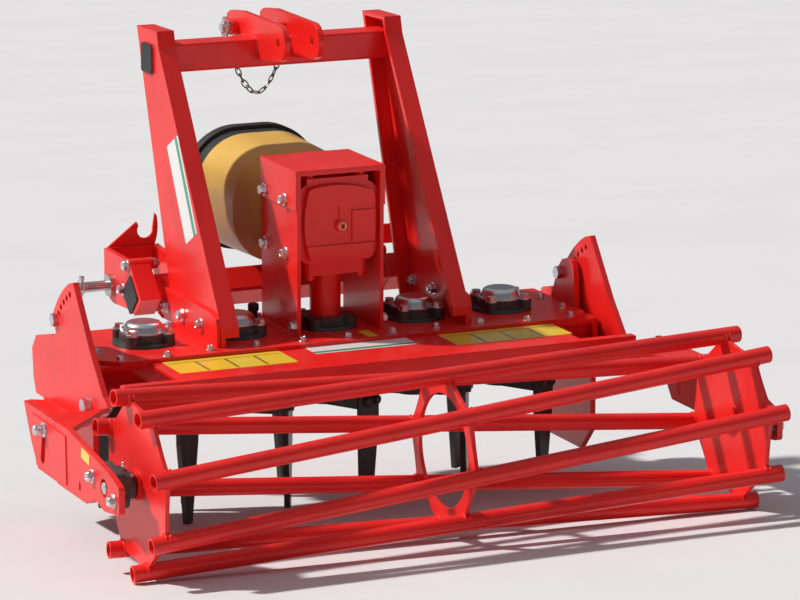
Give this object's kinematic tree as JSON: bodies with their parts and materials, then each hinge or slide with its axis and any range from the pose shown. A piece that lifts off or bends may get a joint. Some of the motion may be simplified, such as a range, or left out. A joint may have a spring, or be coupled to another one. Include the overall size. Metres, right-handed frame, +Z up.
{
  "type": "power harrow",
  "caption": "Compact three-point power harrow with a row of vertical rotors with knife tines, a leaning mast, a bell-shaped shaft guard and a twisted-tube cage roller.",
  "frame": {"origin": "on the ground under the middle of the parked machine's box", "axes": "+X to the machine's right, +Y forward to the tractor, +Z up; the machine leans nose up by its parking angle"},
  "size_m": [1.418, 1.1568, 1.0104],
  "materials": {
    "red_paint": "gloss",
    "black_paint": "satin",
    "black_plastic": "matte",
    "zinc": "satin",
    "bright_steel": "satin",
    "guard_yellow": "satin"
  },
  "bodies": {
    "harrow_frame": {"trough": "red_paint", "cover_plate": "red_paint", "rear_beam": "red_paint", "bearing_housings": "black_paint", "bearing_caps": "zinc", "lower_seats": "black_paint", "end_plate_left": "red_paint", "end_plate_right": "red_paint", "pivot_bolt_left": "zinc", "pivot_bolt_right": "zinc", "lock_nuts": "zinc", "mast_leg_left": "red_paint", "mast_leg_right": "red_paint", "crossbar": "red_paint", "crossbar_plugs": "black_plastic", "mast_foot_left": "red_paint", "mast_foot_right": "red_paint", "top_link_bracket": "red_paint", "top_link_pin": "zinc", "front_beam": "red_paint", "beam_plugs": "black_plastic", "hitch_bracket_left": "red_paint", "hitch_bracket_right": "red_paint", "clamp_bushings": "red_paint", "lower_pin_left": "zinc", "lower_pin_right": "zinc", "shaft_rest": "red_paint", "gearbox": "red_paint", "gearbox_lid": "red_paint", "gearbox_bracket": "red_paint", "gearbox_hood": "red_paint", "pto_guard": "guard_yellow", "guard_rim": "black_plastic"},
    "rotor_1": {"rotor_carrier_1": "black_paint", "rotor_tines_1": "black_paint"},
    "rotor_2": {"rotor_carrier_2": "black_paint", "rotor_tines_2": "black_paint"},
    "rotor_3": {"rotor_carrier_3": "black_paint", "rotor_tines_3": "black_paint"},
    "rotor_4": {"rotor_carrier_4": "black_paint", "rotor_tines_4": "black_paint"},
    "rotor_5": {"rotor_carrier_5": "black_paint", "rotor_tines_5": "black_paint"},
    "drive_stub": {"pto_stub": "bright_steel"},
    "roller_frame": {"roller_arm_left": "red_paint", "roller_arm_right": "red_paint", "roller_bearing_left": "black_paint", "roller_bearing_right": "black_paint", "lock_bolts": "zinc"},
    "roller": {"roller_cage": "red_paint"}
  },
  "joints": [
    {"name": "rotor_3_spin", "type": "hinge", "parent": "harrow_frame", "child": "rotor_3", "pos_m": [0, 0.18896, 0.2267], "axis": [0, -0.1048, 0.9945], "continuous": true},
    {"name": "rotor_1_spin", "type": "hinge", "parent": "harrow_frame", "child": "rotor_1", "pos_m": [-0.4, 0.18896, 0.2267], "axis": [0, -0.1048, 0.9945], "continuous": true},
    {"name": "rotor_2_spin", "type": "hinge", "parent": "harrow_frame", "child": "rotor_2", "pos_m": [-0.2, 0.18896, 0.2267], "axis": [0, -0.1048, 0.9945], "continuous": true},
    {"name": "rotor_4_spin", "type": "hinge", "parent": "harrow_frame", "child": "rotor_4", "pos_m": [0.2, 0.18896, 0.2267], "axis": [0, -0.1048, 0.9945], "continuous": true},
    {"name": "rotor_5_spin", "type": "hinge", "parent": "harrow_frame", "child": "rotor_5", "pos_m": [0.4, 0.18896, 0.2267], "axis": [0, -0.1048, 0.9945], "continuous": true},
    {"name": "drive_shaft_spin", "type": "hinge", "parent": "harrow_frame", "child": "drive_stub", "pos_m": [0, 0.29989, 0.60541], "axis": [0, 0.9945, 0.1048], "continuous": true},
    {"name": "roller_height", "type": "hinge", "parent": "harrow_frame", "child": "roller_frame", "pos_m": [0, 0.01675, 0.27694], "axis": [-1, 0, 0], "range_deg": [0, 26.5]},
    {"name": "roller_spin", "type": "hinge", "parent": "roller_frame", "child": "roller", "pos_m": [0, -0.3968, 0.1841], "axis": [1, 0, 0], "continuous": true}
  ],
  "couplings": [
    {"joint": "rotor_1_spin", "follows": "rotor_3_spin", "ratio": 1},
    {"joint": "rotor_2_spin", "follows": "rotor_3_spin", "ratio": -1},
    {"joint": "rotor_4_spin", "follows": "rotor_3_spin", "ratio": -1},
    {"joint": "rotor_5_spin", "follows": "rotor_3_spin", "ratio": 1},
    {"joint": "drive_shaft_spin", "follows": "rotor_3_spin", "ratio": 2.4}
  ]
}
